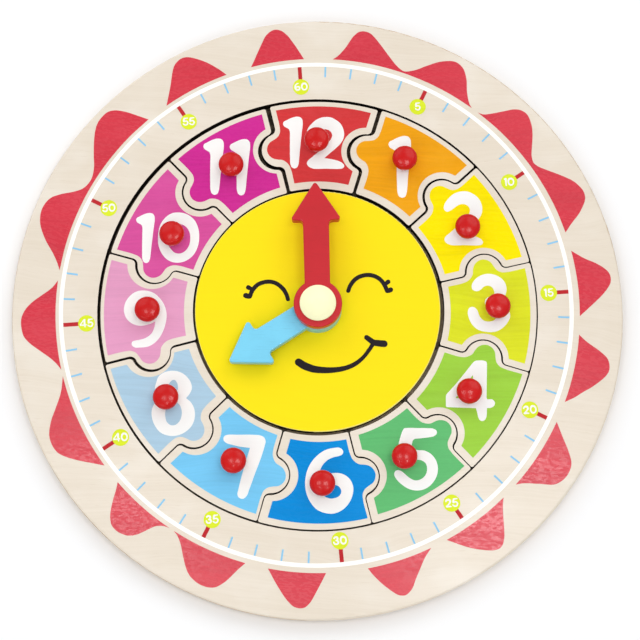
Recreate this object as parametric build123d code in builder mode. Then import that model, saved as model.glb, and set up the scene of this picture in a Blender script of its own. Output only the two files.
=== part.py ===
"""Wooden peg-puzzle clock: twelve interlocking hour tiles in a round tray, two hands on a pin.

Millimetres, +Z up out of the dial, +Y towards 12. The origin is the centre of the underside.
"""
from build123d import *
from math import degrees
import os

os.makedirs("parts", exist_ok=True)

# Boards: a round back board carries a front frame and a centre disc
board_diameter = 300.0
back_thickness = 4.0
front_thickness = 6.0
tray_diameter = 216.4
disc_diameter = 120.7
board_edge_round = 1.0
disc_edge_round = 0.5

# Hour tiles: one outline, a round lobe on one flank and its socket on the other
tile_count = 12
tile_thickness = 6.0
tile_outer_play = 1.25
tile_inner_play = 1.35
tile_gap = 0.94
lobe_radius = 9.2
lobe_inset = 0.4
lobe_blend = 2.7
tile_corner_round = 0.9

# How the loose tiles lie in the tray, from 1 to 12: clockwise and outwards of their even places
tile_places = [
    (0.95, 0.2),
    (0.95, 0.45),
    (0.4, 0.55),
    (-0.15, 0.5),
    (-0.7, 0.45),
    (-1.25, 0.4),
    (-1.75, 0.3),
    (-2.05, 0.15),
    (-1.8, -0.4),
    (-1.6, -0.75),
    (-1.25, -0.65),
    (0.1, -0.2),
]

# Turned knobs, each glued into its tile by a peg; heights are above the tile. The seats, from 1
# to 12, are clockwise and outwards of the tiles' middles, as they were bored by hand
knob_places = [
    (-3.8, 2.2),
    (-1.5, -0.7),
    (-3.5, 2.8),
    (-3, -1),
    (-1.3, -1.1),
    (-3.4, 0.8),
    (-3.2, 0.3),
    (-2.1, 1),
    (-1.9, -1),
    (-4.9, -3.2),
    (-2.4, 0.1),
    (-3.1, 0.7),
]
knob_diameter = 12.4
knob_stem_diameter = 6.4
knob_stem_height = 3.8
knob_widest_height = 6.9
knob_shoulder_height = 9.0
knob_height = 10.2
knob_crown_round = 2.6
peg_diameter = 5.0
peg_length = 4.8
peg_end_gap = 0.4
glue_gap = 0.05

# Hands: lengths are from the pin to the arrow's sharp point, before it is rounded
hand_thickness = 6.0
hand_edge_round = 0.6
hub_diameter = 23.4
hub_blend = 0.8
arm_root_width = 12.2
arm_end_width = 12.7
head_span = 25.4
head_point_round = 1.2
head_barb_round = 1.2
head_neck_round = 1.9
minute_hand_length = 61.1
minute_head_length = 19.8
minute_hand_angle = 3.0
hour_hand_length = 51.3
hour_head_length = 19.1
hour_hand_angle = 124.3

# Centre pin: a domed cap on a shank, through the hands and both boards
shank_diameter = 8.0
running_clearance = 0.08
hand_end_play = 0.1
spacer_diameter = 23.4
spacer_height = 3.3
spacer_edge_round = 0.4
hand_washer_diameter = 20.0
hand_washer_thickness = 0.5
cap_diameter = 17.5
cap_rim_height = 1.2
cap_dome_height = 2.9
cap_edge_round = 0.4

# Fastening of the pin, in a recess of the underside
recess_diameter = 19.0
recess_depth = 2.6
shank_end_gap = 0.3
back_washer_diameter = 16.0
back_washer_thickness = 1.0
screw_diameter = 3.5
screw_length = 14.0
screw_point_length = 2.5
screw_point_taper = 30
screw_head_diameter = 7.0
screw_head_height = 1.3
screw_head_round = 0.5
screw_slot_width = 1.0
screw_slot_depth = 0.6

# Radii and levels worked out from the sizes above
board_radius = board_diameter / 2
tray_radius = tray_diameter / 2
disc_radius = disc_diameter / 2
hub_radius = hub_diameter / 2
bore_radius = shank_diameter / 2 + running_clearance
tile_step = 360 / tile_count
tile_outer_radius = tray_radius - tile_outer_play
tile_inner_radius = disc_radius + tile_inner_play
tile_middle_radius = (tile_outer_radius + tile_inner_radius) / 2
lobe_place_radius = tile_middle_radius - lobe_inset
tile_top = back_thickness + tile_thickness
dial_level = back_thickness + front_thickness
spacer_top = dial_level + spacer_height
hand_washer_bottom = spacer_top + hand_thickness + hand_end_play
minute_hand_bottom = hand_washer_bottom + hand_washer_thickness
cap_bottom = minute_hand_bottom + hand_thickness + hand_end_play
back_washer_bottom = recess_depth - back_washer_thickness

from_below = (Align.CENTER, Align.CENTER, Align.MIN)


def write(builder, name):
    """Label a finished piece and write it to its own file."""
    builder.part.label = name
    export_step(builder.part, f"parts/{name}.step")


def tile_plane(hour, level):
    """Plane of one tile as it lies in the tray, +Y along the tile's middle."""
    clockwise, outwards = tile_places[hour - 1]
    turn = -hour * tile_step - degrees(clockwise / tile_middle_radius)
    origin = Vector(0, outwards, level).rotate(Axis.Z, turn)
    return Plane(origin).rotated((0, 0, turn))


def knob_seat(hour):
    """Middle of one knob on its tile's plane."""
    clockwise, outwards = knob_places[hour - 1]
    return Vector(clockwise, tile_middle_radius + outwards, 0)


def hand_outline(length, head_length):
    """Outline of a hand along +Y: a round hub, an arm and an arrowhead."""
    head_level = length - head_length
    with BuildSketch() as outline:
        with BuildLine():
            Polyline(
                (0, 0),
                (arm_root_width / 2, 0),
                (arm_end_width / 2, head_level),
                (head_span / 2, head_level),
                (0, length),
                close=True,
            )
        make_face()
        mirror(about=Plane.YZ)
        neck = outline.vertices().group_by(Axis.Y)[-2].sort_by(Axis.X)[1:3]
        fillet(neck, head_neck_round)
        barbs = outline.vertices().sort_by(Axis.X)
        fillet([barbs[0], barbs[-1]], head_barb_round)
        fillet(outline.vertices().sort_by(Axis.Y)[-1], head_point_round)
        Circle(hub_radius)
        fillet(outline.vertices().sort_by(SortBy.DISTANCE)[:2], hub_blend)
    return outline.sketch


# Tile outline: a ring sector, plus its lobe, less its socket, drawn in by half the gap
with BuildSketch() as tile_outline:
    start_angle = 90 - tile_step / 2
    with BuildLine():
        outer = CenterArc((0, 0), tile_outer_radius + tile_gap / 2, start_angle, tile_step)
        inner = CenterArc((0, 0), tile_inner_radius - tile_gap / 2, start_angle, tile_step)
        Line(outer @ 0, inner @ 0)
        Line(outer @ 1, inner @ 1)
    make_face()
    with PolarLocations(lobe_place_radius, 1, start_angle + tile_step):
        Circle(lobe_radius)
    with PolarLocations(lobe_place_radius, 1, start_angle):
        Circle(lobe_radius, mode=Mode.SUBTRACT)
    necks = tile_outline.vertices().sort_by(SortBy.DISTANCE)[2:-2]
    fillet(necks, lobe_blend)
    offset(amount=-tile_gap / 2, kind=Kind.INTERSECTION, mode=Mode.REPLACE)
    corners = tile_outline.vertices().sort_by(SortBy.DISTANCE)
    fillet(corners[:2] + corners[-2:], tile_corner_round)

# Back board: floor of the tray, with the pin's hole and the recess of its fastening
with BuildPart() as back_board:
    Cylinder(board_radius, back_thickness, align=from_below)
    fillet(back_board.edges().group_by(Axis.Z)[0], board_edge_round)
    with BuildSketch(Plane.XY):
        Circle(recess_diameter / 2)
    extrude(amount=recess_depth, mode=Mode.SUBTRACT)
    Hole(bore_radius)
write(back_board, "back_board")

# Front frame: the printed rim, whose round opening is the tray's wall
with BuildPart() as front_frame:
    with BuildSketch(Plane.XY.offset(back_thickness)):
        Circle(board_radius)
        Circle(tray_radius, mode=Mode.SUBTRACT)
    extrude(amount=front_thickness)
    top_rims = front_frame.edges().group_by(Axis.Z)[-1].sort_by(SortBy.RADIUS)
    fillet(top_rims[-1], board_edge_round)
write(front_frame, "front_frame")

# Centre disc: the face, glued to the back board
with BuildPart() as centre_disc:
    with BuildSketch(Plane.XY.offset(back_thickness)):
        Circle(disc_radius)
        Circle(bore_radius, mode=Mode.SUBTRACT)
    extrude(amount=front_thickness)
    top_rims = centre_disc.edges().group_by(Axis.Z)[-1].sort_by(SortBy.RADIUS)
    fillet(top_rims[-1], disc_edge_round)
write(centre_disc, "centre_disc")

for hour in range(1, tile_count + 1):
    # Hour tile, with a blind hole for its knob's peg
    with BuildPart() as hour_tile:
        with BuildSketch(tile_plane(hour, back_thickness)):
            add(tile_outline.sketch)
        extrude(amount=tile_thickness)
        with BuildSketch(tile_plane(hour, tile_top)):
            with Locations(knob_seat(hour)):
                Circle(peg_diameter / 2 + glue_gap)
        extrude(amount=-(peg_length + peg_end_gap), mode=Mode.SUBTRACT)
    write(hour_tile, f"hour_tile_{hour:02d}")

    # Knob: peg, stem and mushroom head, turned in one piece
    axis = Axis(tile_plane(hour, tile_top).from_local_coords(knob_seat(hour)), (0, 0, 1))
    with BuildPart() as knob:
        with BuildSketch(Plane(axis.position, x_dir=(1, 0, 0), z_dir=(0, -1, 0))) as profile:
            with BuildLine():
                Polyline(
                    (0, knob_height),
                    (0, -peg_length),
                    (peg_diameter / 2, -peg_length),
                    (peg_diameter / 2, 0),
                    (knob_stem_diameter / 2, 0),
                    (knob_stem_diameter / 2, knob_stem_height),
                )
                widest = (knob_diameter / 2, knob_widest_height)
                shoulder = (knob_diameter / 2, knob_shoulder_height)
                TangentArc(widest, (knob_stem_diameter / 2, knob_stem_height), tangent=(0, -1))
                Line(widest, shoulder)
                TangentArc((0, knob_height), shoulder, tangent=(1, 0))
            make_face()
            rim = profile.vertices().group_by(Axis.X)[-1]
            fillet(rim.sort_by(Axis.Y)[-1], knob_crown_round)
        revolve(axis=axis)
    write(knob, f"knob_{hour:02d}")

# Spacer: holds the hour hand clear of the face
with BuildPart() as hand_spacer:
    with BuildSketch(Plane.XY.offset(dial_level)):
        Circle(spacer_diameter / 2)
        Circle(bore_radius, mode=Mode.SUBTRACT)
    extrude(amount=spacer_height)
    top_rims = hand_spacer.edges().group_by(Axis.Z)[-1].sort_by(SortBy.RADIUS)
    fillet(top_rims[-1], spacer_edge_round)
write(hand_spacer, "hand_spacer")

# Hour hand
with BuildPart() as hour_hand:
    with BuildSketch(Plane.XY.offset(spacer_top).rotated((0, 0, hour_hand_angle))):
        add(hand_outline(hour_hand_length, hour_head_length))
    extrude(amount=hand_thickness)
    fillet(hour_hand.faces().filter_by(Axis.Z).edges(), hand_edge_round)
    Hole(bore_radius)
write(hour_hand, "hour_hand")

# Thin washer between the hands
with BuildPart() as hand_washer:
    with BuildSketch(Plane.XY.offset(hand_washer_bottom)):
        Circle(hand_washer_diameter / 2)
        Circle(bore_radius, mode=Mode.SUBTRACT)
    extrude(amount=hand_washer_thickness)
write(hand_washer, "hand_washer")

# Minute hand
with BuildPart() as minute_hand:
    with BuildSketch(Plane.XY.offset(minute_hand_bottom).rotated((0, 0, minute_hand_angle))):
        add(hand_outline(minute_hand_length, minute_head_length))
    extrude(amount=hand_thickness)
    fillet(minute_hand.faces().filter_by(Axis.Z).edges(), hand_edge_round)
    Hole(bore_radius)
write(minute_hand, "minute_hand")

# Centre pin: shank and domed cap in one piece, bored for its screw
with BuildPart() as centre_pin:
    with BuildSketch(Plane.XZ) as profile:
        with BuildLine():
            shank_end = recess_depth + shank_end_gap
            rim_top = cap_bottom + cap_rim_height
            apex = (0, rim_top + cap_dome_height)
            Polyline(
                apex,
                (0, shank_end),
                (shank_diameter / 2, shank_end),
                (shank_diameter / 2, cap_bottom),
                (cap_diameter / 2, cap_bottom),
                (cap_diameter / 2, rim_top),
            )
            TangentArc(apex, (cap_diameter / 2, rim_top), tangent=(1, 0))
        make_face()
        rim_corners = profile.vertices().group_by(Axis.X)[-1]
        fillet(rim_corners, cap_edge_round)
    revolve(axis=Axis.Z)
    with BuildSketch(Plane.XY.offset(recess_depth)):
        Circle(screw_diameter / 2)
    extrude(amount=screw_length, mode=Mode.SUBTRACT)
write(centre_pin, "centre_pin")

# Washer and screw that hold the pin from below
with BuildPart() as back_washer:
    with BuildSketch(Plane.XY.offset(back_washer_bottom)):
        Circle(back_washer_diameter / 2)
        Circle(screw_diameter / 2, mode=Mode.SUBTRACT)
    extrude(amount=back_washer_thickness)
write(back_washer, "back_washer")

with BuildPart() as back_screw:
    with BuildSketch(Plane.XY.offset(back_washer_bottom - screw_head_height)):
        Circle(screw_head_diameter / 2)
    extrude(amount=screw_head_height)
    fillet(back_screw.edges().group_by(Axis.Z)[0], screw_head_round)
    with BuildSketch(Plane.XY.offset(back_washer_bottom)):
        Circle(screw_diameter / 2)
    extrude(amount=screw_length - screw_point_length)
    point_base = Plane.XY.offset(back_washer_bottom + screw_length - screw_point_length)
    with BuildSketch(point_base):
        Circle(screw_diameter / 2)
    extrude(amount=screw_point_length, taper=screw_point_taper)
    with BuildSketch(Plane.XY.offset(back_washer_bottom - screw_head_height)):
        Rectangle(screw_head_diameter, screw_slot_width)
    extrude(amount=screw_slot_depth, mode=Mode.SUBTRACT)
write(back_screw, "back_screw")
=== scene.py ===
from math import cos, radians, sin

import bpy
import numpy as np
from mathutils import Matrix, Vector
from mathutils.geometry import tessellate_polygon


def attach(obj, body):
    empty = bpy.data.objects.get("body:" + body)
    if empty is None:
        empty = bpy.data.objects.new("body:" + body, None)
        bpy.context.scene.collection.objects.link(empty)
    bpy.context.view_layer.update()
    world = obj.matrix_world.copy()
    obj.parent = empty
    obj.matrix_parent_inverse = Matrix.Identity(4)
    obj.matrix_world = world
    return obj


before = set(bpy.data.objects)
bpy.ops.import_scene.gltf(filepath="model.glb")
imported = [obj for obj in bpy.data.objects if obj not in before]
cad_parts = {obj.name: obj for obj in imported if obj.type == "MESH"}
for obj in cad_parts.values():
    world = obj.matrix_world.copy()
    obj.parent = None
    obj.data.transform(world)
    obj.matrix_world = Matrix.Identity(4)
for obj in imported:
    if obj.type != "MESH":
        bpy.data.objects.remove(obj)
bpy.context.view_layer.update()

scene = bpy.context.scene
mm = 0.001


# Camera: looks down on the dial from the 6 o'clock side
view = {
    "target": (1.255, -5.18, 10.0),  # mm, on the dial
    "distance": 751.2,
    "elevation": 79.08,
    "roll": 1.675,
    "lens": 86.16,
    "sensor": 36,
    "clip": (0.01, 20),  # m
}


def addCamera():
    tilt, roll = radians(view["elevation"]), radians(view["roll"])
    back = Vector((0, -cos(tilt), sin(tilt)))
    level = Vector((1, 0, 0))
    upright = back.cross(level)
    right = level * cos(roll) + upright * sin(roll)
    up = upright * cos(roll) - level * sin(roll)
    place = (Vector(view["target"]) + back * view["distance"]) * mm
    aim = Matrix((right, up, back)).transposed().to_4x4()
    camera = bpy.data.objects.new("dialCamera", bpy.data.cameras.new("dialCamera"))
    camera.data.sensor_width = view["sensor"]
    camera.data.lens = view["lens"]
    camera.data.clip_start, camera.data.clip_end = view["clip"]
    camera.matrix_world = Matrix.Translation(place) @ aim
    scene.collection.objects.link(camera)
    scene.camera = camera


addCamera()
print("camera placed")


# Colours are written as 0 to 255 screen values and turned into the shader's linear ones
def tone(red, green, blue):
    share = np.array([red, green, blue]) / 255
    linear = np.where(share <= 0.04045, share / 12.92, ((share + 0.055) / 1.055) ** 2.4)
    return (*linear.tolist(), 1.0)


def shaded(colour, share):
    return tuple(int(part * share) for part in colour)


class Wire:
    # A node's output as a number in Python sums; each sum adds one Math node
    def __init__(self, finish, socket):
        self.finish = finish
        self.socket = socket

    def __add__(self, other):
        return self.finish.math("ADD", self, other)

    def __radd__(self, other):
        return self.finish.math("ADD", other, self)

    def __sub__(self, other):
        return self.finish.math("SUBTRACT", self, other)

    def __rsub__(self, other):
        return self.finish.math("SUBTRACT", other, self)

    def __mul__(self, other):
        return self.finish.math("MULTIPLY", self, other)

    def __pow__(self, other):
        return self.finish.math("POWER", self, other)


class Finish:
    # One procedural material, built up node by node round its Principled BSDF
    def __init__(self, name):
        self.material = bpy.data.materials.new(name)
        self.material.use_nodes = True
        self.tree = self.material.node_tree
        self.shader = self.tree.nodes["Principled BSDF"]
        place = self.node("ShaderNodeTexCoord", {}, {}, "Object")
        self.x, self.y, self.z = self.parts(place)

    def node(self, kind, settings, inputs, output=0):
        made = self.tree.nodes.new(kind)
        for name, value in settings.items():
            setattr(made, name, value)
        self.feed(made, inputs)
        return Wire(self, made.outputs[output])

    def feed(self, made, inputs):
        for name, value in inputs.items():
            if isinstance(value, Wire):
                self.tree.links.new(value.socket, made.inputs[name])
            else:
                made.inputs[name].default_value = value

    def parts(self, vector):
        split = self.tree.nodes.new("ShaderNodeSeparateXYZ")
        self.tree.links.new(vector.socket, split.inputs[0])
        return [Wire(self, output) for output in split.outputs]

    def math(self, operation, *values):
        return self.node("ShaderNodeMath", {"operation": operation}, dict(enumerate(values)))

    def reach(self):
        # Distance from the clock's axis
        return (self.x * self.x + self.y * self.y) ** 0.5

    def noiseAt(self, x, y, z, detail=3.0, rough=0.5):
        # Cloud noise between 0 and 1 at a point whose three parts are already scaled
        at = self.node("ShaderNodeCombineXYZ", {}, {0: x, 1: y, 2: z})
        inputs = {"Vector": at, "Scale": 1.0, "Detail": detail, "Roughness": rough}
        return self.node("ShaderNodeTexNoise", {}, inputs)

    def noise(self, pattern, rows=None):
        # Noise of a named pattern; rows of grain stand in for Y where they are given
        along, across, up, *rest = patterns[pattern]
        return self.noiseAt(self.x * along, (rows or self.y) * across, self.z * up, *rest)

    def between(self, value, low, high):
        # 0 below low, 1 above high, and a smooth step between
        inputs = {"Value": value, "From Min": low, "From Max": high}
        return self.node("ShaderNodeMapRange", {"interpolation_type": "SMOOTHSTEP"}, inputs)

    def mix(self, share, first, second):
        return self.node("ShaderNodeMix", {"data_type": "RGBA"}, {0: share, 6: first, 7: second}, 2)

    def upward(self, low, high):
        # 1 on faces that look up or down, 0 on upright walls
        normal = self.node("ShaderNodeNewGeometry", {}, {}, "Normal")
        return self.between(self.math("ABSOLUTE", self.parts(normal)[2]), low, high)

    def bump(self, height, strength, distance):
        inputs = {"Height": height, "Strength": strength, "Distance": distance}
        return self.node("ShaderNodeBump", {}, inputs)

    def done(self, **sockets):
        self.feed(self.shader, {name.replace("_", " "): value for name, value in sockets.items()})
        return self.material


# Noise patterns: changes per metre along X, along Y or across the rows of grain, and up, then the
# detail where it is not 3 and the roughness where it is not 0.5
patterns = {
    "wander": (9, 16, 9, 2.0),
    "fineStreaks": (22, 924, 60, 4.0, 0.6),
    "broadStreaks": (7, 92.4, 20, 2.0),
    "pores": (130, 2100, 200, 2.0),
    "pale": (30, 42, 30),
    # noise of the charred walls, and of the painted shade on the tray's floor
    "charAndShadeCloud": (500, 500, 90),
    "endGrain": (260, 260, 900),
    "inkPatches": (36, 60, 30),
    "speckle": (420, 1000, 30, 2.0),
    "orangePeel": (900, 900, 900, 2.0),
    "paintCloud": (70, 70, 70),
    "fibre": (120, 1500, 1500),
    "smear": (200, 200, 200),
    "floor": (3, 3, 0, 2.0),
}

# Birch plywood: grain runs along X, in rows that wander slowly up and down. Pairs are the two
# values between which a noise, a height in the ply or a slope goes over into its full effect.
woodLook = {
    "wander": 0.028,  # m
    "fineShare": 0.55,
    "streaks": (0.30, 0.72),
    "pale": (0.45, 0.75),
    "paleTone": (246, 241, 232),
    "pores": (0.63, 0.74),
    "poreTone": (186, 160, 124),
    "poreDepth": 0.6,
    "char": (0.42, 0.72),
    # also the colour of the painted shade on the tray's floor under the gaps
    "charAndShadeTone": (16, 11, 8),
    "charBrown": (40, 26, 16),
    "plyThickness": 0.0013,  # m, as are the next three
    "plyShift": 0.0002,
    "plyTurn": (0.00045, 0.0007),
    "glueEdge": (0.00005, 0.00014),
    "glueTone": (148, 110, 74),
    "endGrain": (0.4, 0.75),
    "endGrainTone": (190, 156, 112),
    "endGrainShare": 0.5,
    "laserReach": (0.120, 0.121),  # m from the axis, where the charred walls of the frame end
    "flat": (0.35, 0.60),  # upward part of the normal, where walls turn into tops
    "roughness": 0.74,
    "streakRoughness": 0.12,
    "bump": (0.14, 0.00025),
}

# Tops of the boards: "pale" and "pores" are shares of their colours, and "polish" is how much
# smoother than a wall the top is
washedTop = {
    "light": (230, 219, 203),
    "shade": (223, 211, 193),
    "pale": 0.30,
    "pores": 0.16,
    "polish": 0.55,
    "gloss": 0.19,
    "gapShaded": False,
}
bareTop = {
    "light": (226, 203, 168),
    "shade": (205, 174, 132),
    "pale": 0.12,
    "pores": 0.40,
    "polish": 0.10,
    "gloss": 0.25,
    # the tray's floor takes painted shade under the gaps
    "gapShaded": True,
}

# Painted shade on the tray's floor, under the gaps between the parts, in metres: the lobes' circles,
# the dark core and the fade of a mark, the tray's two rims, and the heights over which the floor is told
# apart
gapShadeLook = {
    "lobeReach": 0.0839,
    "lobeRadius": 0.0092,
    "drift": 0.0006,
    "core": 0.0012,
    "fade": 0.0044,
    "besideLobe": 0.0006,
    "lobeSide": 0.002,
    "farOff": 0.01,
    "innerRim": (0.0605, 0.0650),
    "innerShare": 0.6,
    "outerRim": (0.1035, 0.1062),
    "floor": (0.0030, 0.0036),
    "cloud": (0.3, 0.7),
    "share": (0.80, 0.15),
}


def grainRows(finish):
    # Height across the grain: y plus a slow noise of x and y
    return finish.y + (finish.noise("wander") - 0.5) * woodLook["wander"]


def grainStreaks(finish, rows):
    # Long fine streaks: noise that changes fast across the rows and slowly along them
    share = woodLook["fineShare"]
    return finish.noise("fineStreaks", rows) * share + finish.noise("broadStreaks", rows) * (1 - share)


def sootMarks(finish):
    # Share of painted shade under the gaps beside the cut edges of the tiles: near the tray's two round
    # edges, and along each flank and lobe, in a frame that repeats every 30 degrees, with across and
    # along measured from the flank
    look = gapShadeLook
    half = radians(15)
    radius = look["lobeRadius"]
    reach = finish.reach()
    turn = finish.math("ARCTAN2", finish.x, finish.y)
    turn = finish.math("WRAP", turn - half, half, -half)
    across = reach * finish.math("SINE", turn) + look["drift"]
    along = reach * finish.math("COSINE", turn) - look["lobeReach"]
    offLobe = finish.math("ABSOLUTE", (across * across + along * along) ** 0.5 - radius)
    offLobe = offLobe + finish.between(across, 0, look["lobeSide"]) * look["farOff"]
    beside = finish.between(finish.math("ABSOLUTE", along), radius, radius + look["besideLobe"])
    distance = finish.math("ABSOLUTE", across) * beside + offLobe * (1 - beside)
    flank = 1 - finish.between(distance, look["core"], look["fade"])
    rims = (1 - finish.between(reach, *look["innerRim"])) * look["innerShare"]
    rims = rims + finish.between(reach, *look["outerRim"])
    marks = finish.math("MAXIMUM", flank, rims) * finish.between(finish.z, *look["floor"])
    least, more = look["share"]
    return marks * (least + finish.between(finish.noise("charAndShadeCloud"), *look["cloud"]) * more)


def charredWall(finish):
    share = finish.between(finish.noise("charAndShadeCloud"), *woodLook["char"])
    return finish.mix(share, tone(*woodLook["charAndShadeTone"]), tone(*woodLook["charBrown"]))


def plyWall(finish):
    # Sanded edge: long and cross plies by turns, with thin glue lines between
    layer = finish.math("PINGPONG", finish.z + woodLook["plyShift"], woodLook["plyThickness"])
    share = finish.between(layer, *woodLook["plyTurn"])
    ply = finish.mix(share, tone(*bareTop["light"]), tone(*bareTop["shade"]))
    share = finish.between(finish.noise("endGrain"), *woodLook["endGrain"]) * woodLook["endGrainShare"]
    ply = finish.mix(share, ply, tone(*woodLook["endGrainTone"]))
    share = 1 - finish.between(layer, *woodLook["glueEdge"])
    return finish.mix(share, ply, tone(*woodLook["glueTone"]))


def frameWall(finish):
    # Charred where the laser cut the opening, sanded outside
    share = finish.between(finish.reach(), *woodLook["laserReach"])
    return finish.mix(share, charredWall(finish), plyWall(finish))


def boardFinish(name, top, wall):
    # wall is the function that colours the upright walls
    finish = Finish(name)
    rows = grainRows(finish)
    streaks = grainStreaks(finish, rows)
    face = finish.mix(finish.between(streaks, *woodLook["streaks"]), tone(*top["light"]), tone(*top["shade"]))
    pale = finish.between(finish.noise("pale"), *woodLook["pale"])
    face = finish.mix(pale * top["pale"], face, tone(*woodLook["paleTone"]))
    pores = finish.between(finish.noise("pores", rows), *woodLook["pores"])
    face = finish.mix(pores * top["pores"], face, tone(*woodLook["poreTone"]))
    # painted shade: the tray's floor is darkened under the gaps between the parts
    if top["gapShaded"]:
        face = finish.mix(sootMarks(finish), face, tone(*woodLook["charAndShadeTone"]))
    flat = finish.upward(*woodLook["flat"])
    return finish.done(
        Base_Color=finish.mix(flat, wall(finish), face),
        Roughness=woodLook["roughness"] - flat * top["polish"] + streaks * woodLook["streakRoughness"],
        Normal=finish.bump(streaks + pores * -woodLook["poreDepth"], *woodLook["bump"]),
        Specular_IOR_Level=top["gloss"],
    )


# Ink printed on the wood: the grain shows through a little. "shade" and "light" are how far dark and
# light grain leave the ink's colour, and "speckle" is what fine spots add to the roughness, so that
# they break up the shine.
inkLook = {
    "shade": 0.05,
    "light": 0.05,
    "streaks": (0.36, 0.70),
    "patches": (0.5, 0.8),
    "patchShare": 0.8,
    "spots": (0.40, 0.60),
    "speckle": 0.0,
    "bump": 0.08,
    "bumpDistance": 0.0002,
    "roughness": 0.55,
    "streakRoughness": 0.12,
    "gloss": 0.06,
}
# Satin lacquer over the fields of the tiles and over the rays
fieldSatin = {"roughness": 0.16, "speckle": 0.14}
raySatin = {"roughness": 0.13, "speckle": 0.14, "gloss": 0.36}


def inkFinish(name, colour, grain=1.0, **changes):
    look = {**inkLook, **changes}
    finish = Finish(name)
    rows = grainRows(finish)
    streaks = grainStreaks(finish, rows)
    dark = shaded(colour, 1 - look["shade"] * grain)
    light = tuple(int(part + (255 - part) * look["light"] * grain) for part in colour)
    ink = finish.mix(finish.between(streaks, *look["streaks"]), tone(*colour), tone(*dark))
    patches = finish.between(finish.noise("inkPatches", rows), *look["patches"])
    ink = finish.mix(patches * look["patchShare"], ink, tone(*light))
    spots = finish.between(finish.noise("speckle", rows), *look["spots"])
    return finish.done(
        Base_Color=ink,
        Roughness=streaks * look["streakRoughness"] + spots * look["speckle"] + look["roughness"],
        Normal=finish.bump(streaks, look["bump"] * grain, look["bumpDistance"]),
        Specular_IOR_Level=look["gloss"],
    )


# Enamel paint on turned or routed pieces: fine orange peel, and on the hands faint fibres along X
enamelLook = {
    "cloud": (0.35, 0.68),
    "cloudShade": 0.975,
    "fibres": (0.55, 0.75),
    "fibreShade": 0.88,
    "cloudRoughness": 0.08,
    "peelShare": 0.6,
    "peelBump": 0.06,
    "fibreBump": 0.10,
    "bumpDistance": 0.0002,
    "coatRoughness": 0.12,
}
enamels = {
    "spacerPaint": {"colour": (140, 200, 208), "roughness": 0.42, "coat": 0.1},
    "hourHandPaint": {"colour": (123, 209, 239), "roughness": 0.34, "coat": 0.2, "fibres": 0.4, "gloss": 0.2},
    "minuteHandPaint": {"colour": (198, 32, 42), "roughness": 0.34, "coat": 0.2, "fibres": 0.4, "gloss": 0.2},
    "washerPlastic": {"colour": (60, 58, 56), "roughness": 0.45, "coat": 0.0},
    "capPaint": {"colour": (254, 252, 206), "roughness": 0.48, "coat": 0.0, "gloss": 0.15},
    "knobEnamel": {"colour": (201, 12, 12), "roughness": 0.2, "coat": 0.16, "gloss": 0.2},
}


def enamelFinish(name, colour, roughness, coat, fibres=0.0, gloss=0.35):
    look = enamelLook
    finish = Finish(name)
    peel = finish.noise("orangePeel")
    cloud = finish.noise("paintCloud")
    fibre = finish.noise("fibre")
    dark, deep = shaded(colour, look["cloudShade"]), shaded(colour, look["fibreShade"])
    paint = finish.mix(finish.between(cloud, *look["cloud"]), tone(*colour), tone(*dark))
    paint = finish.mix(finish.between(fibre, *look["fibres"]) * fibres, paint, tone(*deep))
    relief = peel * look["peelShare"] + fibre * fibres
    strength = look["peelBump"] + look["fibreBump"] * fibres
    return finish.done(
        Base_Color=paint,
        Roughness=roughness + cloud * look["cloudRoughness"],
        Normal=finish.bump(relief, strength, look["bumpDistance"]),
        Specular_IOR_Level=gloss,
        Coat_Weight=coat,
        Coat_Roughness=look["coatRoughness"],
    )


# Yellow face of the centre disc over its laser-cut wall, paler where its edge is rounded
faceLook = {
    "light": (251, 226, 24),
    "shade": (250, 224, 26),
    "edge": (250, 236, 130),
    "round": (0.90, 0.99),
    "roughness": 0.72,
    "polish": 0.20,
    "streakRoughness": 0.08,
    "bump": (0.10, 0.0002),
}


def faceFinish(name):
    look = faceLook
    finish = Finish(name)
    streaks = grainStreaks(finish, grainRows(finish))
    share = finish.between(streaks, *inkLook["streaks"])
    yellow = finish.mix(share, tone(*look["light"]), tone(*look["shade"]))
    yellow = finish.mix(finish.upward(*look["round"]), tone(*look["edge"]), yellow)
    flat = finish.upward(*woodLook["flat"])
    return finish.done(
        Base_Color=finish.mix(flat, charredWall(finish), yellow),
        Roughness=look["roughness"] - flat * look["polish"] + streaks * look["streakRoughness"],
        Normal=finish.bump(streaks, *look["bump"]),
        Specular_IOR_Level=inkLook["gloss"],
    )


# Turned metal: fine rings about the axis, and smears that are darker and rougher
metalLook = {
    "ringsPerMetre": 4000,
    "ringDetail": 2.0,
    "bump": (0.15, 0.0001),
    "smearShade": 0.82,
    "smearRoughness": 0.15,
}


def metalFinish(name, colour, roughness):
    # The noise of the rings runs with the distance from the axis
    look = metalLook
    finish = Finish(name)
    scale = look["ringsPerMetre"]
    rings = finish.noiseAt(finish.reach() * scale, finish.z * scale, 0.0, look["ringDetail"])
    smear = finish.noise("smear")
    return finish.done(
        Base_Color=finish.mix(smear, tone(*colour), tone(*shaded(colour, look["smearShade"]))),
        Metallic=1.0,
        Roughness=roughness + smear * look["smearRoughness"],
        Normal=finish.bump(rings, *look["bump"]),
    )


# Hour tiles: the slots and colours of their printed fields, by hour
tileColours = {
    1: ("tile_orange", (239, 163, 22)),
    2: ("tile_yellow", (252, 230, 0)),
    3: ("tile_lime", (220, 225, 38)),
    4: ("tile_leaf_green", (156, 207, 64)),
    5: ("tile_green", (97, 186, 113)),
    6: ("tile_blue", (0, 138, 215)),
    7: ("tile_sky_blue", (118, 199, 240)),
    8: ("tile_pale_blue", (172, 203, 223)),
    9: ("tile_pink", (226, 156, 192)),
    10: ("tile_rose", (215, 83, 155)),
    11: ("tile_magenta", (206, 46, 146)),
    12: ("tile_red", (211, 59, 61)),
}

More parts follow.
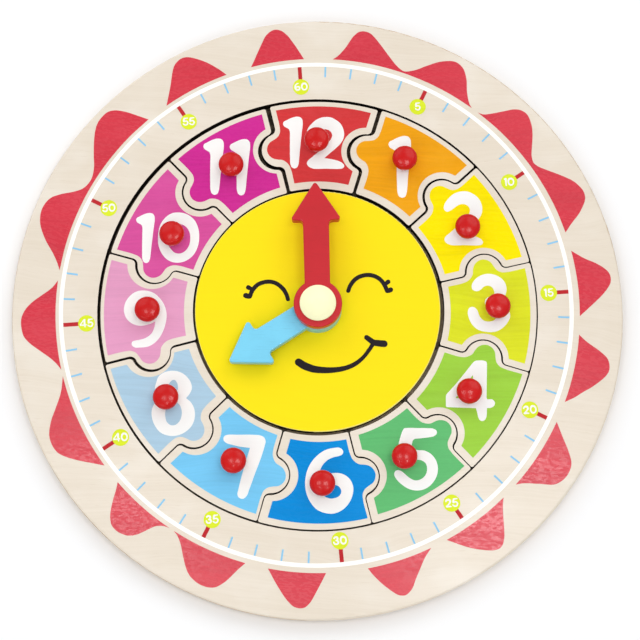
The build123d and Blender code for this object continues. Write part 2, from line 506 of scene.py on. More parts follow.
paints = {name: enamelFinish(name, **look) for name, look in enamels.items()}
nodeFinishes = {
    "front_frame": boardFinish("washedFrame", washedTop, frameWall),
    "back_board": boardFinish("bareBoard", bareTop, plyWall),
    "centre_disc": faceFinish("yellowFace"),
    "hand_spacer": paints["spacerPaint"],
    "hour_hand": paints["hourHandPaint"],
    "minute_hand": paints["minuteHandPaint"],
    "hand_washer": paints["washerPlastic"],
    "centre_pin": paints["capPaint"],
    "back_washer": metalFinish("washerSteel", (196, 197, 200), 0.32),
    "back_screw": metalFinish("screwSteel", (186, 187, 190), 0.30),
}
tileWood = boardFinish("washedTile", washedTop, charredWall)
for hour in tileColours:
    nodeFinishes[f"hour_tile_{hour:02d}"] = tileWood
    nodeFinishes[f"knob_{hour:02d}"] = paints["knobEnamel"]
for node, material in nodeFinishes.items():
    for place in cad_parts[node].material_slots:
        place.material = material
print("finishes on", len(nodeFinishes), "nodes")


# Flat outlines, in millimetres
def cubic(start, end, leaving, arriving, steps):
    # Points on the cubics from each start to its end with these slopes, the ends left out
    t = np.linspace(0, 1, steps, endpoint=False)[None, :, None]
    curve = (2 * t**3 - 3 * t**2 + 1) * start[:, None] + (3 * t**2 - 2 * t**3) * end[:, None]
    curve = curve + (t**3 - 2 * t**2 + t) * leaving[:, None] + (t**3 - t**2) * arriving[:, None]
    return curve.reshape(-1, 2)


def smoothLoop(knots, steps=6):
    # Closed curve: a cubic from each knot to the next, whose slope at a knot follows the circle
    # through it and its neighbours. A knot written twice is a sharp corner.
    knots = np.asarray(knots, float)
    twice = np.all(knots == np.roll(knots, -1, axis=0), axis=1)
    corner = np.roll(twice, 1)[~twice][:, None]
    knots = knots[~twice]
    leg = np.roll(knots, -1, axis=0) - knots
    length = np.linalg.norm(leg, axis=1, keepdims=True)
    lengthBehind = np.roll(length, 1, axis=0)
    ahead = leg / length
    behind = np.roll(ahead, 1, axis=0)
    slope = behind * length + ahead * lengthBehind
    slope /= np.linalg.norm(slope, axis=1, keepdims=True)
    leaving = np.where(corner, ahead, slope) * np.minimum(length, 2 * lengthBehind)
    arriving = np.where(corner, behind, slope) * np.minimum(lengthBehind, 2 * length)
    arriving = np.roll(arriving, -1, axis=0)
    return cubic(knots, np.roll(knots, -1, axis=0), leaving, arriving, steps)


def turned(points, clockwise, centre=(0.0, 0.0)):
    # Points turned clockwise about the origin, then moved to the centre
    angle = np.radians(clockwise)
    x, y = np.asarray(points, float).T
    across = x * np.cos(angle) + y * np.sin(angle)
    up = y * np.cos(angle) - x * np.sin(angle)
    return np.column_stack((across, up)) + centre


def polar(clockwise, radius):
    # Points at clockwise angles from 12 o'clock, in degrees, and at radii
    angle = np.radians(clockwise)
    return np.column_stack((radius * np.sin(angle), radius * np.cos(angle)))


def polarPoint(clockwise, radius):
    return polar([clockwise], radius)[0]


def circle(centre, radius, count=64):
    return polar(np.linspace(0, -360, count, endpoint=False), radius) + centre


def penStroke(path, widths, steps=12):
    # Line drawn by a round pen: a cubic path through the knots, and two edges half a width to its
    # left and right, joined by half circles at both ends
    path, widths = np.asarray(path, float), np.asarray(widths, float)
    slope = np.gradient(path, axis=0)
    leg = np.linalg.norm(np.diff(path, axis=0), axis=1)[:, None]
    slope /= np.linalg.norm(slope, axis=1, keepdims=True)
    line = cubic(path[:-1], path[1:], slope[:-1] * leg, slope[1:] * leg, steps)
    line = np.vstack((line, path[-1:]))
    half = np.interp(np.arange(len(line)) / steps, np.arange(len(path)), widths)[:, None] / 2
    along = np.gradient(line, axis=0)
    along /= np.linalg.norm(along, axis=1, keepdims=True)
    left = np.column_stack((-along[:, 1], along[:, 0]))
    sweep = np.linspace(0, np.pi, 10)[1:-1, None]
    tipCap = line[-1] + half[-1] * (np.cos(sweep) * -left[-1] + np.sin(sweep) * along[-1])
    rootCap = line[0] + half[0] * (np.cos(sweep) * left[0] - np.sin(sweep) * along[0])
    return np.vstack((line - left * half, tipCap, (line + left * half)[::-1], rootCap))


def signedArea(loop):
    x, y = loop.T
    return 0.5 * np.sum(x * np.roll(y, -1) - np.roll(x, -1) * y)


def wound(loops):
    # Loops reversed where needed, so that the outer one runs anticlockwise and its holes clockwise
    forward = [(signedArea(loop) > 0) == (place == 0) for place, loop in enumerate(loops)]
    return [loop if keep else loop[::-1] for keep, loop in zip(forward, loops)]


def filmMesh(name, shapes, low, high):
    # Closed flat film: every point of a shape stands at the heights low and high; triangles fill the
    # two faces between the outer loop and its holes, and quads close the walls
    points, faces, start = [], [], 0
    for loops in map(wound, shapes):
        flat = np.vstack(loops)
        count = len(flat)
        solid = [np.column_stack((loop, np.zeros(len(loop)))).tolist() for loop in loops]
        corners = np.array(tessellate_polygon(solid))
        a, b, c = flat[corners[:, 0]], flat[corners[:, 1]], flat[corners[:, 2]]
        facing = (b - a)[:, 0] * (c - a)[:, 1] - (b - a)[:, 1] * (c - a)[:, 0]
        corners = np.where(facing[:, None] < 0, corners[:, ::-1], corners)
        faces += (start + count + corners).tolist() + (start + corners[:, ::-1]).tolist()
        first = start
        for loop in loops:
            here = first + np.arange(len(loop))
            ahead = np.roll(here, -1)
            faces += np.column_stack((here, ahead, ahead + count, here + count)).tolist()
            first += len(loop)
        points += [np.column_stack((flat, np.full(count, level))) for level in (low, high)]
        start += 2 * count
    mesh = bpy.data.meshes.new(name)
    mesh.from_pydata((np.vstack(points) * mm).tolist(), [], faces)
    mesh.update()
    return mesh


# Print: heights in mm from the level of the tiles, the frame and the face
dialTop = 10.0
film = {"sunk": 0.05, "field": 0.06, "overprint": 0.08, "number": 0.10, "strokeStep": 0.012}


def addFilm(name, shapes, proud, material, body):
    piece = bpy.data.objects.new(name, filmMesh(name, shapes, dialTop - film["sunk"], dialTop + proud))
    scene.collection.objects.link(piece)
    piece.data.materials.append(material)
    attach(piece, body)


# Where the loose tiles lie, from 1 to 12: mm clockwise and outwards of their even places
tileLies = [
    (0.95, 0.2), (0.95, 0.45), (0.4, 0.55), (-0.15, 0.5), (-0.7, 0.45), (-1.25, 0.4), (-1.75, 0.3),
    (-2.05, 0.15), (-1.8, -0.4), (-1.6, -0.75), (-1.25, -0.65), (0.1, -0.2),
]
tileMiddle = 84.325  # mm from the axis

# Where the origin of a tile's number lies: mm from the axis, and mm off that place on the dial
numberPlace = {"reach": 84.8, "shift": (0.5, -0.1)}


def onTile(hour, points):
    # From a tile's own frame, with Y along its middle, to the dial
    clockwise, outwards = tileLies[hour - 1]
    return turned(np.asarray(points) + (0, outwards), hour * 30 + np.degrees(clockwise / tileMiddle))


def numberCentre(hour):
    return polarPoint(hour * 30, numberPlace["reach"]) + numberPlace["shift"]


# Printed field of a tile: its edge keeps clear of the outline. The flanks are given in frames whose
# Y lies along each flank, 15 degrees to either side, and the arcs in degrees.
field = {
    "outer": 104.0,
    "inner": 64.8,
    "outerArc": (-11, 10),
    "innerArc": (9, -9.5),
    "arcKnots": 6,
    "lobeSide": [
        (2.8, 64.8), (2.8, 64.8), (2.8, 72.0), (2.35, 74.6), (1.2, 76.6), (-0.5, 78.1), (-2.1, 78.6),
        (-4.5, 79.7), (-6.15, 81.65), (-6.74, 83.95), (-6.15, 86.3), (-4.5, 88.2), (-2.1, 89.2),
        (0.25, 90.4), (1.75, 92.5), (2.2, 95.3), (2.2, 104.0), (2.2, 104.0),
    ],
    "socketCentre": (-0.54, 83.95),
    "socketRadius": 12.4,
    "socketFlank": -3.97,
    "socketKnots": 11,
    "flankTurn": 15,
}


def fieldLoop():
    # Up the lobe flank, along the outer arc, down the socket flank with its bay, and back along the
    # inner arc
    lobe = turned(field["lobeSide"], -field["flankTurn"])
    x, y = field["socketCentre"]
    flank, radius = field["socketFlank"], field["socketRadius"]
    reach = np.degrees(np.arcsin((flank - x) / radius))
    bay = polar(np.linspace(reach, -180 - reach, field["socketKnots"]), radius) + (x, y)
    top = np.sqrt(field["outer"] ** 2 - flank**2)
    bottom = np.sqrt(field["inner"] ** 2 - flank**2)
    socket = [(flank, top), (flank, top), bay[0], *bay, bay[-1], (flank, bottom), (flank, bottom)]
    socket = turned(socket, field["flankTurn"])
    outerArc = polar(np.linspace(*field["outerArc"], field["arcKnots"]), field["outer"])
    innerArc = polar(np.linspace(*field["innerArc"], field["arcKnots"]), field["inner"])
    return smoothLoop(np.vstack((lobe, outerArc, socket, innerArc)))


# How far each printed field is off its tile's middle, from 1 to 12: mm clockwise, mm outwards and
# degrees clockwise
fieldLies = [
    (0.55, 0.66, 0.3), (0.30, -0.24, -0.3), (0.36, -0.06, 0.1), (-0.18, 0.12, 0.2), (-0.25, -0.26, 0.4),
    (-0.58, -0.02, 0.1), (-0.39, -0.50, 0.4), (1.30, 0.70, 0.1), (0.85, 1.26, 0.8), (0.20, 0.33, 0.4),
    (1.12, 0.53, 0.3), (0.54, 0.61, 0.2),
]


def fieldOnTile(hour):
    clockwise, outwards, turn = fieldLies[hour - 1]
    centred = fieldLoop() - (0, tileMiddle)
    return onTile(hour, turned(centred, turn, (clockwise, tileMiddle + outwards)))


# Rounded digits. Each is drawn in mm from the centre of the tile that shows it; the 1 stands on its
# foot.
digits = {
    "0": [
        [
            (3, 4.8), (7, 3.8), (10.5, 1), (12.5, -3), (13.2, -8), (12.5, -13), (10, -17.5), (6.5, -20),
            (3, -20.8), (-1, -20), (-4.5, -17), (-6.8, -12), (-7.2, -8), (-6.2, -1.5), (-4, 2),
            (-1, 4.2),
        ],
        [
            (4, -1.2), (6.5, -2.5), (8.2, -5), (8.8, -8.5), (8.3, -12), (6.5, -14.8), (4, -16.1),
            (1.5, -15.8), (-0.5, -14), (-1.9, -12), (-2.6, -8.5), (-2, -5), (-0.4, -2.4), (1.7, -1.2),
        ],
    ],
    "1": [
        [
            (-6.5, 24.9), (-5.8, 23.5), (-4.5, 22.7), (-3.4, 22), (-2.9, 20.8), (-2.7, 16.6),
            (-2.3, 6.6), (-1.9, 2.1), (-1.2, 0.6), (0.1, 0), (1.5, 0.6), (2.1, 2.1), (2.7, 10.6),
            (3.3, 19.6), (3.7, 25.6), (3.4, 27.6), (2.5, 28.8), (1, 29.2), (-1.7, 28.6), (-4.7, 27),
            (-6.1, 26.1),
        ],
    ],
    "2": [
        [
            (-12.7, 11.2), (-12.4, 13), (-10.5, 16), (-7.5, 18.7), (-4, 19.9), (-1, 19.9), (2, 18.6),
            (4.5, 16.5), (6, 13.5), (6.4, 11), (6, 8.5), (5, 6.5), (2.3, 3.4), (-0.9, 0.4), (-3.4, -2),
            (-3.4, -2), (-0.9, -2.3), (2.8, -3), (4.8, -3.7), (6.3, -4.7), (6.9, -6), (6.2, -7.1),
            (4.5, -7.5), (-2, -7.6), (-9.5, -7.6), (-11.5, -6.5), (-12.2, -5), (-11.7, -3.6), (-10, -2),
            (-7.5, 0.3), (-4.2, 3.1), (-1.9, 6), (-0.2, 8.4), (0.3, 10.4), (-0.9, 12.6), (-3.3, 13.4),
            (-5.5, 12.8), (-7.5, 11.3), (-9.5, 9.8), (-11, 9.2), (-12.3, 9.9),
        ],
    ],
    "3": [
        [
            (-9.8, 14), (-9.5, 15.5), (-7.5, 18.2), (-4.5, 20), (-1, 20.6), (2.5, 19.8), (5.5, 17.8),
            (7.2, 14.5), (7.2, 11.5), (6.2, 8.8), (5, 7.2), (5, 7.2), (7.4, 4.6), (8.8, 2), (9.2, -0.5),
            (8, -3.5), (6, -6), (2.5, -8.2), (-2, -8.6), (-6.5, -7.6), (-9.5, -5), (-11, -2),
            (-11.6, 1), (-11, 3), (-9.3, 3.7), (-7.5, 2.8), (-6.7, 1.5), (-6, -0.5), (-4, -2.8),
            (-1, -3.4), (1.4, -2.6), (2.8, -0.6), (2.4, 1.6), (0.8, 2.9), (-1.5, 3.6), (-2.9, 4.7),
            (-3.2, 6.7), (-2, 8.6), (0, 9.2), (1.1, 10), (1.4, 11.2), (1, 12.6), (0, 14), (-2, 14.6),
            (-3.8, 14), (-5.2, 12.6), (-6.5, 11.8), (-8, 11.7), (-9.5, 12.6),
        ],
    ],
    "4": [
        [
            (3, 18.8), (3.8, 19.3), (5.5, 19.5), (7.8, 19.5), (9.1, 18.9), (9.4, 17.6), (9.4, 17.6),
            (9.3, 1.2), (9.3, 1.2), (9.6, 0.6), (12.3, 0.4), (13.4, -1), (13, -2.6), (11.5, -3.6),
            (9.6, -3.8), (9.6, -3.8), (9.2, -8.5), (8.5, -9.7), (7.2, -10.2), (6, -9.6), (5.4, -8.5),
            (4.8, -6), (4.2, -4), (4.2, -4), (-9.9, -3.9), (-9.9, -3.9), (-10.4, -3.4), (-10.4, -3.4),
            (-10.4, 1.8), (-10.2, 2.3), (-6, 7.2), (-1.5, 13),
        ],
        [
            (2.6, 12.3), (2.6, 12.3), (-5.8, 0.6), (-5.8, 0.6), (3, 0.5), (3, 0.5),
        ],
    ],
    "5": [
        [
            (0, 15.3), (0.6, 16.1), (2.2, 16.4), (7, 16.5), (12, 16.6), (14.8, 16.4), (16.3, 15.4),
            (16.4, 14.2), (15.2, 12.9), (12.5, 12.2), (8, 11.5), (5.6, 11.1), (5, 10.5), (4.5, 8.6),
            (4.5, 6.4), (4.5, 6.4), (7.5, 5.8), (10.5, 5.7), (13.5, 4.3), (16, 1.5), (17.2, -2.5),
            (16.8, -6), (15, -9.5), (12, -12.3), (8, -13.6), (4, -13.2), (0, -11), (-3, -8),
            (-3.8, -6.2), (-3.2, -4.6), (-1.8, -4.1), (-0.3, -4.6), (1.5, -6), (3.5, -7.6), (6.5, -8.8),
            (9, -8.2), (11.3, -6), (12, -3), (11.3, -0.5), (9.5, 0.8), (7.4, 1.2), (4.6, 0.6),
            (1.6, -0.3), (-0.6, -0.2), (-1.9, 1), (-2.3, 3.2), (-1.9, 8.8), (-1, 12.4),
        ],
    ],
    "6": [
        [
            (13.8, 15.3), (13.2, 16.5), (12, 17.2), (9, 17), (5, 15.8), (1, 12.8), (-2, 8.8), (-3.7, 4),
            (-4.1, -0.5), (-3.5, -4.5), (-1.5, -9), (2, -12.8), (6, -14.3), (9.5, -14.5), (13.5, -13),
            (17, -9.5), (18.9, -5), (19.1, -2), (18, 1.3), (15.5, 3.8), (12, 5), (9, 4.9), (5.4, 4.1),
            (2.3, 2.6), (2.3, 2.6), (2.6, 4.8), (4, 8.5), (6, 10.8), (9, 12.5), (12, 13.3), (13.3, 14),
        ],
        [
            (10, -0.7), (11.8, -1.2), (13, -2.5), (13.4, -3.9), (12.5, -5.9), (10.5, -7), (8, -7.3),
            (6, -6.7), (4.2, -5.2), (3.4, -3.4), (4.2, -1.8), (6.6, -0.8),
        ],
    ],
    "7": [
        [
            (-1.8, 8.8), (-1.2, 10), (0, 10.5), (5, 10.7), (13, 10.9), (16, 10.7), (17.8, 9.8),
            (18.6, 8), (18.3, 6), (17, 1), (14, -8), (11.6, -15.4), (10.3, -18.8), (8.8, -20),
            (6.8, -19.5), (6, -18), (6.3, -16), (7.5, -10), (9.2, -3), (11.2, 4.5), (11.2, 4.5),
            (5, 5.2), (2.5, 5.8), (-0.5, 6.7), (-1.6, 7.8),
        ],
    ],
    "8": [
        [
            (-4.5, 4), (-3.5, 7), (-1, 9), (3, 10), (7, 9.4), (10.5, 7), (12.5, 4), (12.9, 1.5),
            (12, -1), (10.3, -3.2), (10.3, -3.2), (13, -5.5), (14.7, -9), (15, -12), (14, -16),
            (11, -19.5), (7, -21.5), (3, -21.8), (-1, -20.5), (-4.2, -17), (-5.8, -13), (-6, -9.5),
            (-5, -6.5), (-2.8, -3.7), (-2.8, -3.7), (-4.4, -1), (-5, 1.5),
        ],
        [
            (2, 4), (3, 5.2), (4.3, 5.5), (5.5, 4.3), (6.1, 2.5), (6, 0.6), (4.8, -0.6), (3, -0.4),
            (1.6, 1.4), (1.4, 2.9),
        ],
        [
            (0.6, -10), (0.7, -12.5), (1.7, -15.3), (3.5, -16.6), (5.5, -16.5), (7.5, -14.8),
            (8.5, -12), (8.4, -9), (7.4, -6.7), (5.6, -5.3), (3.4, -5.4), (1.6, -7.2),
        ],
    ],
    "9": [
        [
            (-1, 7.1), (3, 6.2), (6.5, 3.5), (9, 0), (10.2, -4), (10, -9), (8.5, -14), (6, -18),
            (2.5, -20.6), (-2, -21.4), (-4.5, -21.4), (-6, -20.2), (-5.8, -18.6), (-4.3, -18),
            (-2, -17.5), (1, -16.3), (3.5, -14), (4.6, -11), (4.9, -8.2), (4.9, -8.2), (3.2, -9.2),
            (1, -10), (-2.5, -10.6), (-6, -9.8), (-9, -7.5), (-10.7, -3.5), (-10.3, 0.5), (-8.3, 4),
            (-5, 6.5),
        ],
        [
            (-0.8, 1.2), (2, -0.1), (3.2, -2.4), (2, -4.8), (-0.8, -5.8), (-3.6, -4.8), (-4.6, -2.4),
            (-3.6, -0.1),
        ],
    ],
}

# Hour numbers: digit, width and height against the drawn one, and where its origin goes
hourNumbers = {
    1: [("1", 1.1, 1.1, -2.7, -15.3)],
    10: [("1", 0.9, 0.873, -12.6, -21.4), ("0", 1, 1, 0, 0)],
    11: [("1", 1, 1, -11.3, -16.6), ("1", 1, 1, 1.9, -16.5)],
    12: [("1", 0.97, 0.925, -14.4, -13.1), ("2", 0.98, 0.978, 3.86, -5.37)],
}

whiteInk = inkFinish("whiteInk", (245, 244, 241), 0.15)
for hour, (slot, colour) in tileColours.items():
    body = f"tile_{hour:02d}"
    ink = inkFinish(f"fieldInk{hour:02d}", colour, **fieldSatin)
    addFilm(f"field_{hour:02d}", [[fieldOnTile(hour)]], film["field"], ink, body)
    shapes = []
    for digit, wide, tall, x, y in hourNumbers.get(hour, [(str(hour), 1, 1, 0, 0)]):
        origin = numberCentre(hour) + (x, y)
        shapes.append([smoothLoop(loop) * (wide, tall) + origin for loop in digits[digit]])
    addFilm(f"number_{hour:02d}", shapes, film["number"], whiteInk, body)
print("twelve tiles printed")


# Frame print: the whole print sits turned and a little off the board's centre. Lengths are in mm and
# angles in degrees; the circle has an inner and an outer radius, and ticks also have a width.
framePrint = {
    "turn": -5.7,
    "shift": (0.05, 0.95),
    "rayFoot": 128.7,
    "circle": (124.35, 126.4),
    "circleShift": (-0.66, 0.24),
    "circlePoints": 240,
    "minuteTick": (118.8, 124.3, 0.85),
    "fiveTick": (116.5, 124.4, 1.95),
    "dotRadius": 4.1,
    "dotReach": (114.0, 114.9, 115.0, 113.9, 114.6, 115.1, 113.9, 115.1, 114.8, 113.6, 115.5, 115.3),
    "thirtyTurn": -1.35,
    "drift": (-0.25, -0.02, 0.19, 0.26, 0.19, 0.15, 0.10, 0.11, 0.16, 0.02, -0.11, -0.24),  # at each five
    "numberHeight": 4.2,
    "numberGap": 0.3,
    "numberShift": (0, 0.15),
}

# Sun rays: clockwise degrees and radius of each edge, from its left foot to its right one
rayEdges = [
    [
        (7.4, 128.7), (8.2, 130), (9.7, 134.3), (11.5, 142.4), (12.4, 144.7), (14.6, 144.9),
        (15.7, 143.1), (21.3, 131.9), (22.4, 130.5), (23.5, 129.7), (25.6, 131.8), (27.9, 136.8),
        (30.4, 142.2), (33.1, 145.1), (34.6, 144.2), (36.4, 140.3), (38.3, 133.9), (40.2, 129.7),
        (41.1, 128.7),
    ],
    [
        (42.8, 128.7), (43.9, 129.5), (47, 138.2), (48, 141.7), (49.1, 144), (50.3, 144.9),
        (53.1, 142.4), (54.4, 140.1), (58.4, 131.9), (59.6, 131), (60.7, 131.6), (67.7, 143.7),
        (70.1, 145.2), (71.2, 144.6), (73.3, 140), (75.5, 132.4), (76.8, 128.7),
    ],
    [
        (81.1, 128.7), (83.4, 134.5), (84.8, 139.5), (86, 142.9), (87, 144.8), (89, 144.9), (90, 143.3),
        (91.3, 140.4), (95.9, 128.7),
    ],
    [
        (100, 128.7), (101.1, 131.8), (103.2, 140.6), (104.2, 143.8), (106.1, 145.5), (110.3, 139.4),
        (111.9, 135.8), (113.6, 132.5), (115.3, 128.7),
    ],
    [
        (120, 128.7), (122.3, 134.4), (124.8, 141.4), (126, 144.1), (128.5, 145.5), (131, 143.6),
        (133.1, 137), (135.2, 130.8), (136.4, 128.7),
    ],
    [
        (140.2, 128.7), (141.6, 131.4), (145.6, 143.2), (146.6, 145.1), (147.4, 145.7), (148.4, 145),
        (151.4, 139.3), (155.5, 128.7),
    ],
    [
        (159.2, 128.7), (161.3, 131.8), (163, 135.6), (164.6, 139.6), (166, 143.5), (167.5, 145.1),
        (168.4, 144.5), (170.5, 139.2), (172.7, 131.7), (173.4, 128.7),
    ],
    [
        (182.3, 128.7), (184.1, 136.4), (185.7, 143.1), (186.5, 144.9), (188.5, 144.9), (189.7, 142.7),
        (192.1, 136.2), (194.7, 128.7),
    ],
    [
        (199.6, 128.7), (200.6, 132.2), (202.7, 140.9), (203.9, 143.9), (206.4, 145.3), (209, 143.7),
        (213.9, 131.9), (215.3, 129.6), (216.4, 128.7),
    ],
    [
        (217.4, 128.7), (218.6, 129.4), (219.9, 131.3), (223.3, 143.4), (225.9, 145.2), (227.1, 144.6),
        (228.2, 142.6), (230.4, 135.5), (231.4, 131.7), (232.4, 128.7),
    ],
    [
        (237, 128.7), (241.6, 139.1), (243.1, 142.3), (244.3, 144.2), (247.5, 144.7), (250.6, 140.7),
        (252.2, 137.4), (255.5, 131.6), (258.7, 128.7),
    ],
    [
        (260.1, 128.7), (261.4, 130.1), (262.8, 132.3), (267, 142.3), (268.2, 144.4), (269.5, 145.3),
        (272.2, 145.2), (273.5, 143.7), (274.8, 141.1), (278.6, 130.7), (280.1, 128.7),
    ],
    [
        (282.4, 128.7), (283.9, 130.5), (285.5, 133.1), (288.6, 139.8), (291.6, 144.6), (294.1, 145.9),
        (296.9, 143.8), (298, 141), (300.1, 134.4), (301.2, 132), (303.4, 130.5), (306.8, 133),
        (308.5, 136), (314.9, 145.8), (317.7, 145.6), (318.7, 144), (319.8, 140.6), (322.6, 128.7),
    ],
    [
        (327.7, 128.7), (330.5, 135.2), (334.2, 145.1), (335.8, 146.2), (336.8, 145.6), (339.5, 140.1),
        (342.2, 131.7), (343, 128.7),
    ],
    [
        (348.8, 128.7), (349.8, 131.6), (352.3, 139.8), (353.5, 143.7), (355.5, 145.9), (356.5, 145.1),
        (357.6, 142.5), (358.8, 137.8), (360.9, 128.7),
    ],
]


def onFrame(points):
    return turned(points, framePrint["turn"], framePrint["shift"])


def rayLoop(edge):
    # The edge as a smooth curve between two sharp feet, closed by the arc of the foot circle
    knots = polar(*np.array([edge[0], *edge, edge[-1]]).T)
    back = np.linspace(edge[-1][0], edge[0][0], 8)[1:-1]
    return smoothLoop(np.vstack((knots, polar(back, framePrint["rayFoot"]))))


def tick(clockwise, near, far, width):
    # A bar across the radius, as a rectangle, whose ends keep with the shifted white circle
    near, far = np.array((near, far)) + polarPoint(clockwise, 1.0) @ framePrint["circleShift"]
    side = width / 2
    return turned([(-side, near), (side, near), (side, far), (-side, far)], clockwise)


def minuteAngle(minute):
    # Clockwise degrees of a minute mark, off its even place by the print's drift
    drift = framePrint["drift"]
    return minute * 6 + np.interp(minute / 5, range(13), (*drift, drift[0]))


def fiveAngle(mark):
    return minuteAngle(mark * 5) + (framePrint["thirtyTurn"] if mark == 6 else 0)


def smallNumber(text, centre):
    # Digits side by side at one height, centred on a point
    shapes, reach = [], 0.0
    for digit in text:
        outer, *holes = [smoothLoop(loop, 4) for loop in digits[digit]]
        low, high = outer.min(axis=0), outer.max(axis=0)
        scale = framePrint["numberHeight"] / (high[1] - low[1])
        shapes.append([(loop - low) * scale + (reach, 0) for loop in (outer, *holes)])
        reach += (high[0] - low[0]) * scale + framePrint["numberGap"]
    middle = ((reach - framePrint["numberGap"]) / 2, framePrint["numberHeight"] / 2)
    return [[loop - middle + centre for loop in loops] for loops in shapes]


inks = {
    "ray": inkFinish("rayInk", (213, 50, 67), **raySatin),
    "line": inkFinish("circleInk", (255, 254, 248), 0.1),
    "minute": inkFinish("minuteInk", (140, 200, 236), 0.6),
    "five": inkFinish("fiveInk", (190, 44, 50), 0.8),
    "dot": inkFinish("dotInk", (220, 234, 50), 0.7),
    "face": inkFinish("faceInk", (40, 34, 38), 0.4),
}
marks = range(12)
dotCentres = [polarPoint(fiveAngle(mark), framePrint["dotReach"][mark]) for mark in marks]
minuteAngles = [minuteAngle(minute) for minute in range(60) if minute % 5]
addFilm("sunRays", [[onFrame(rayLoop(edge))] for edge in rayEdges], film["field"], inks["ray"], "board")
centre, count = framePrint["circleShift"], framePrint["circlePoints"]
inner, outer = [onFrame(circle(centre, radius, count)) for radius in framePrint["circle"]]
addFilm("rimCircle", [[outer, inner]], film["overprint"], inks["line"], "board")
minuteTicks = [[onFrame(tick(angle, *framePrint["minuteTick"]))] for angle in minuteAngles]
addFilm("minuteTicks", minuteTicks, film["field"], inks["minute"], "board")
fiveTicks = [[onFrame(tick(fiveAngle(mark), *framePrint["fiveTick"]))] for mark in marks]
addFilm("fiveTicks", fiveTicks, film["field"], inks["five"], "board")
dots = [[onFrame(circle(centre, framePrint["dotRadius"]))] for centre in dotCentres]
addFilm("minuteDots", dots, film["overprint"], inks["dot"], "board")
numbers = []
for mark, centre in zip(marks, dotCentres):
    for loops in smallNumber(str((mark or 12) * 5), centre + framePrint["numberShift"]):
        numbers.append([onFrame(loop) for loop in loops])
addFilm("minuteNumbers", numbers, film["number"], whiteInk, "board")
print("frame printed")


# Smiling face on the disc: pen strokes as knots and pen widths, in mm
faceStrokes = {
    "leftEye": (
        [
            (-33.6, 5.6), (-32.4, 8.7), (-30.2, 11.4), (-27.9, 12.6), (-24.6, 13.3), (-21.0, 12.6),
            (-17.6, 10.1), (-15.6, 7.1), (-14.8, 4.7),
        ],
        [2.2, 2.1, 2.1, 2.1, 2.1, 2.1, 2.1, 2.0, 2.0],
    ),
    "leftLashHigh": ([(-32.4, 9.1), (-33.5, 9.6), (-34.5, 10.1)], [1.8, 2.0, 2.3]),
    "leftLashLow": ([(-33.7, 5.6), (-34.7, 5.7), (-35.6, 6.0)], [2.3, 2.5, 2.6]),
    "rightEye": (
        [
            (14.7, 9.8), (15.7, 12.6), (17.7, 15.4), (20.1, 17.1), (23.6, 18.1), (27.3, 17.7),
            (30.5, 15.9), (32.5, 13.3), (33.9, 10.4),
        ],
        [2.0, 2.0, 2.1, 2.1, 2.1, 2.1, 2.1, 2.1, 2.2],
    ),
    "rightLashHigh": ([(32.6, 13.7), (33.5, 14.3), (34.3, 15.0)], [1.8, 2.0, 2.2]),
    "rightLashLow": ([(33.9, 10.4), (34.8, 10.6), (35.6, 11.0)], [2.2, 2.3, 2.4]),
    "smile": (
        [
            (-8.6, -26.4), (-5.5, -28.2), (-1.2, -29.6), (3.7, -30.0), (9.3, -29.7), (14.5, -28.6),
            (19.1, -26.4), (22.9, -23.1), (25.7, -19.3), (27.6, -16.2),
        ],
        [3.6, 3.8, 3.5, 3.1, 2.65, 2.3, 2.15, 1.9, 1.9, 2.0],
    ),
    "cheek": (
        [(24.3, -13.2), (25.9, -14.3), (27.7, -15.5), (30.0, -15.9), (33.0, -16.1)],
        [2.4, 2.6, 2.8, 3.2, 3.3],
    ),
}
for layer, (name, (path, widths)) in enumerate(faceStrokes.items()):
    # each stroke a hair higher than the one before, where they cross
    proud = film["field"] + film["strokeStep"] * layer
    addFilm(name, [[penStroke(path, widths)]], proud, inks["face"], "board")
print("face drawn")


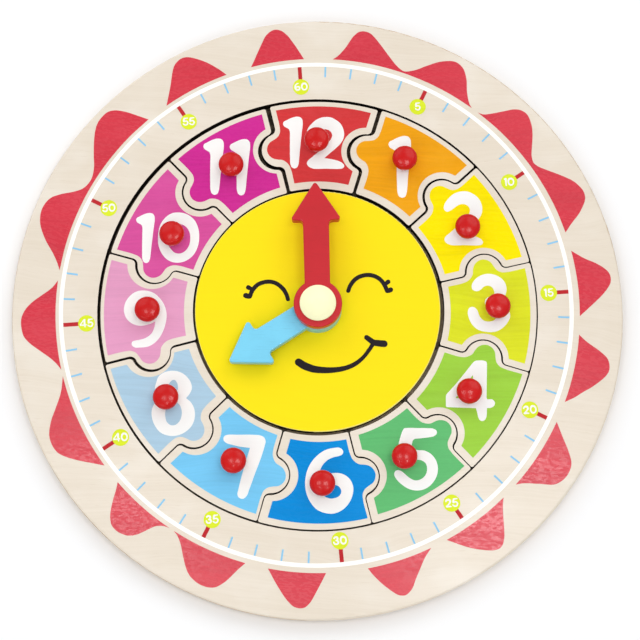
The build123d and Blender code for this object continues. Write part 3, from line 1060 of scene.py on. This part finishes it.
# Studio: plain pale floor, soft key from the upper right, fills, two high lamps that the lacquer
# reflects, and two spots close by for the points of light on the knobs
floorLook = {"light": (246, 247, 249), "shade": (250, 250, 250), "roughness": 0.85, "reach": 3.0}
airLook = {"Color": (0.97, 0.98, 1.0, 1.0), "Strength": 0.56}
white = (1.0, 1.0, 1.0)

# Lamps: place in m, width in m, power in W and colour; each looks at the origin
lamps = {
    "key": ((1.00, 1.35, 1.80), 1.9, 13.5, (1.0, 0.985, 0.96)),
    "fillLeft": ((-0.60, 0.80, 0.85), 1.1, 3.1, (0.96, 0.98, 1.0)),
    "fillFront": ((-0.80, -1.60, 1.40), 1.4, 6.0, white),
    "sheenLeft": ((-0.240, -0.030, 1.195), 0.26, 1.2, white),
    "sheenRight": ((0.235, -0.030, 1.195), 0.26, 1.8, white),
    "spotLeft": ((-0.054, -0.176, 0.462), 0.02, 0.08, white),
    "spotRight": ((0.133, -0.173, 0.461), 0.02, 0.08, white),
}


def addFloor():
    finish = Finish("floorPaper")
    light, shade = tone(*floorLook["light"]), tone(*floorLook["shade"])
    colour = finish.mix(finish.noise("floor"), light, shade)
    reach = floorLook["reach"]
    corners = [(-reach, -reach, 0), (reach, -reach, 0), (reach, reach, 0), (-reach, reach, 0)]
    mesh = bpy.data.meshes.new("floor")
    mesh.from_pydata(corners, [], [(0, 1, 2, 3)])
    mesh.materials.append(finish.done(Base_Color=colour, Roughness=floorLook["roughness"]))
    floor = bpy.data.objects.new("floor", mesh)
    scene.collection.objects.link(floor)


def addLamp(name, place, size, power, colour):
    lamp = bpy.data.objects.new(name, bpy.data.lights.new(name, "AREA"))
    lamp.data.shape = "DISK"
    lamp.data.size = size
    lamp.data.energy = power
    lamp.data.color = colour
    lamp.location = place
    lamp.rotation_euler = Vector(place).to_track_quat("Z", "Y").to_euler()
    scene.collection.objects.link(lamp)


def addAir():
    air = bpy.data.worlds.new("studioAir")
    air.use_nodes = True
    for name, value in airLook.items():
        air.node_tree.nodes["Background"].inputs[name].default_value = value
    scene.world = air


addFloor()
for name, lamp in lamps.items():
    addLamp(name, *lamp)
addAir()
scene.view_settings.view_transform = "Standard"
print("studio lit")
